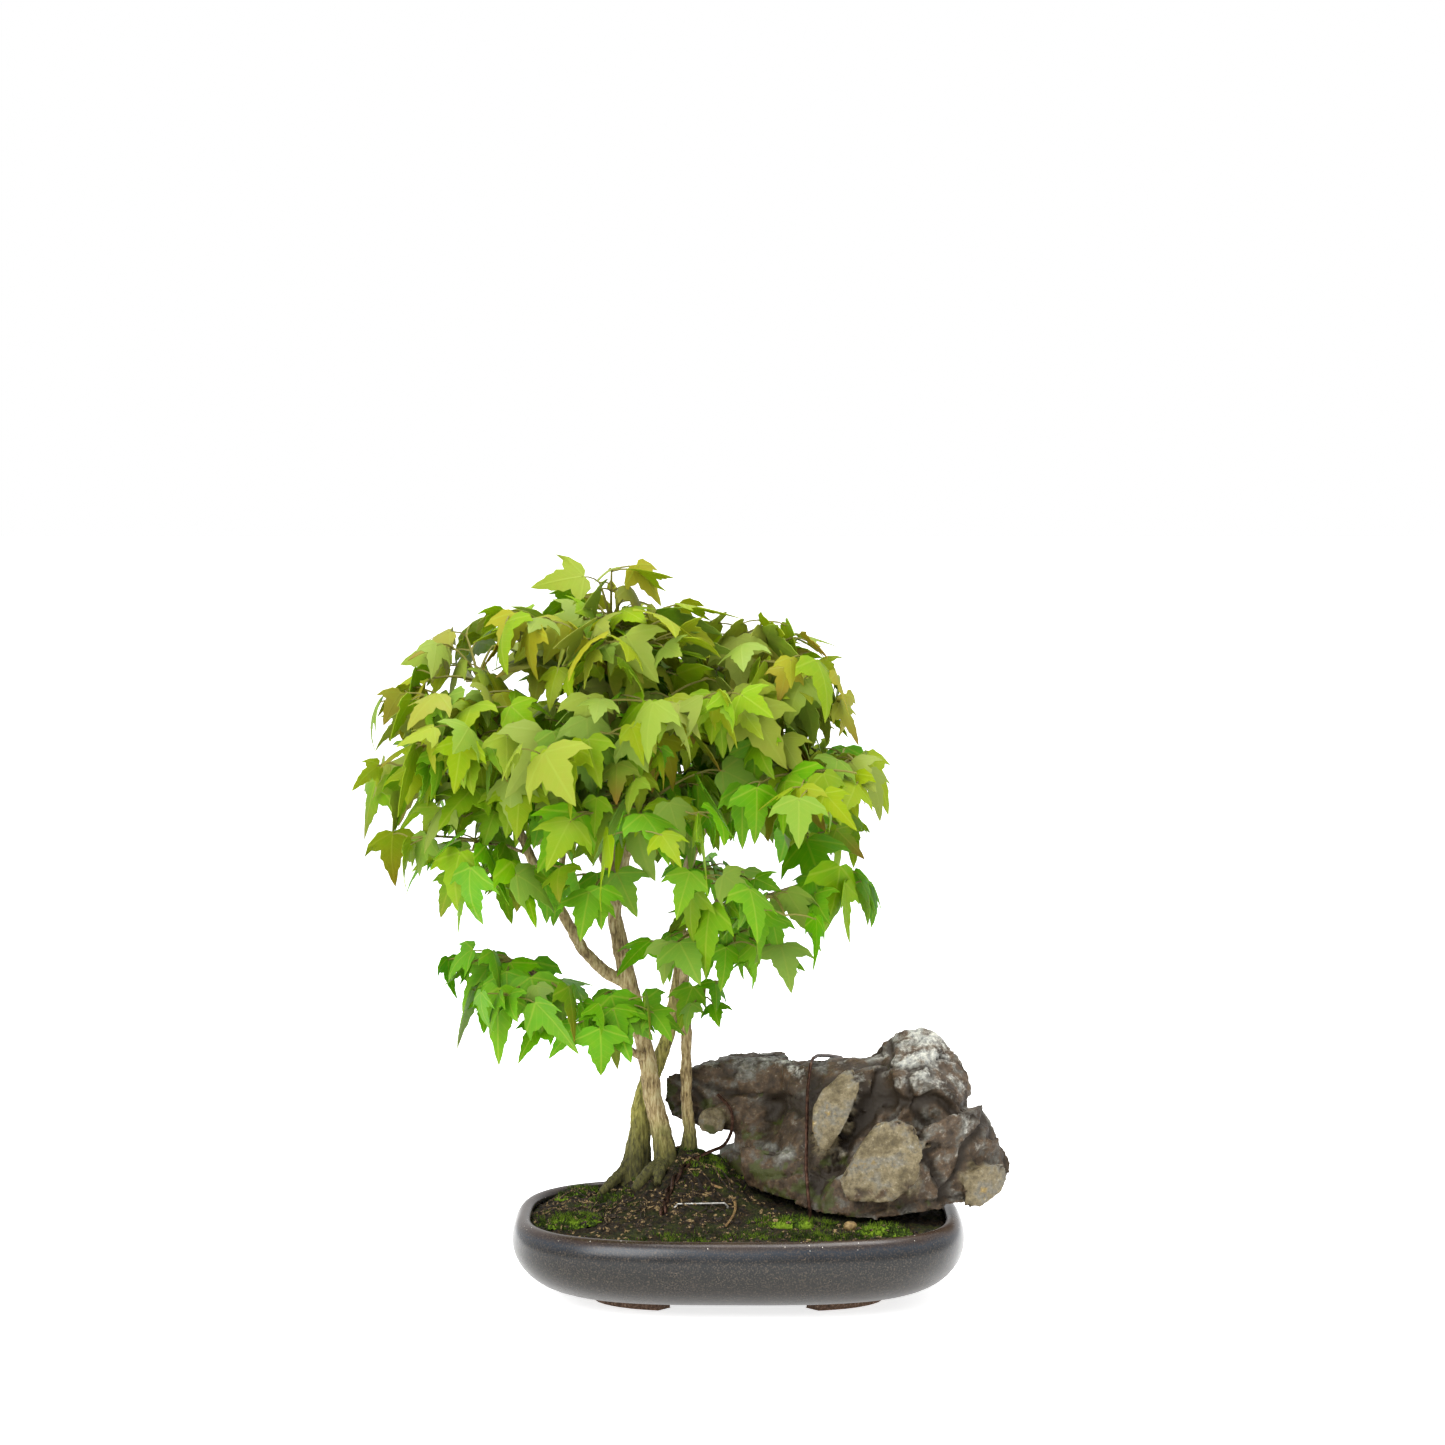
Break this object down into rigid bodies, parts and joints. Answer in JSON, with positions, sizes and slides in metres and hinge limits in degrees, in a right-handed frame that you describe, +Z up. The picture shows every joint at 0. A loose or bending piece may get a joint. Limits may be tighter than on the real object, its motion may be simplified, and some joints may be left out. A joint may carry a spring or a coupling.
{
  "type": "bonsai tree in a pot",
  "caption": "Trident maple clump bonsai with drooping three-lobed leaves and a craggy viewing stone wired into a shallow oval glazed tray.",
  "frame": {"origin": "on the surface that the tray's feet stand on, under the middle of the whole object's box", "axes": "+Z up, +X to the right towards the stone, +Y to the back, away from the viewer"},
  "size_m": [0.4404, 0.3049, 0.4894],
  "materials": {
    "tray_glaze": "dark brown to blue-grey satin glaze on brown stoneware, feet unglazed",
    "soil": "damp granular bonsai soil, brown and near black, matt",
    "rock": "craggy brown rock with grey-beige clasts and pale weathered patches, matt",
    "bark": "light brown ridged bark, matt",
    "mossy_bark": "brown bark with a green film of moss, matt",
    "leaf": "living leaf, yellow-green to mid green, soft sheen, thin",
    "moss": "live moss, bright to dark green, velvety",
    "brown_wire": "brown anodised, satin",
    "bare_wire": "bare, drawn, satin",
    "mesh_plastic": "black moulded mesh",
    "root_skin": "tan root skin, matt",
    "pebble": "brown pebble, matt"
  },
  "bodies": {
    "root": {"drain_mesh_left": "mesh_plastic", "drain_mesh_right": "mesh_plastic", "mesh_clip_left": "bare_wire", "mesh_clip_right": "bare_wire", "moss_left_back": "moss", "moss_left_front": "moss", "moss_mound": "moss", "moss_right_front": "moss", "moss_stone_foot": "moss", "pebble": "pebble", "pot": "tray_glaze", "shoot_back_high": "leaf", "shoot_back_left": "leaf", "shoot_back_low": "leaf", "shoot_crown_back": "leaf", "shoot_crown_front": "leaf", "shoot_crown_left": "leaf", "shoot_crown_top": "leaf", "shoot_front_high": "leaf", "shoot_front_inner": "leaf", "shoot_front_left": "leaf", "shoot_front_low": "leaf", "shoot_left_front_low": "leaf", "shoot_left_low": "leaf", "shoot_left_outer": "leaf", "shoot_left_outer_back": "leaf", "shoot_left_shoulder": "leaf", "shoot_low_front": "leaf", "shoot_low_left": "leaf", "shoot_low_middle": "leaf", "shoot_rear_inner": "leaf", "shoot_right_back": "leaf", "shoot_right_back_low": "leaf", "shoot_right_front": "leaf", "shoot_right_low": "leaf", "shoot_right_low_front": "leaf", "shoot_right_outer": "leaf", "shoot_right_top": "leaf", "shoot_right_top_back": "leaf", "shoot_right_top_front": "leaf", "shoot_right_upper": "leaf", "shoot_slim_front": "leaf", "shoot_slim_low": "leaf", "shoot_slim_right": "leaf", "shoot_upper_left": "leaf", "shoot_upper_left_front": "leaf", "soil": "soil", "staple": "bare_wire", "stone": "rock", "stone_wire": "brown_wire", "surface_root": "root_skin", "tie_wire": "brown_wire", "tie_wire_tail": "brown_wire", "trunk_front": "bark", "trunk_rear": "mossy_bark", "trunk_slim": "bark"}
  },
  "joints": []
}
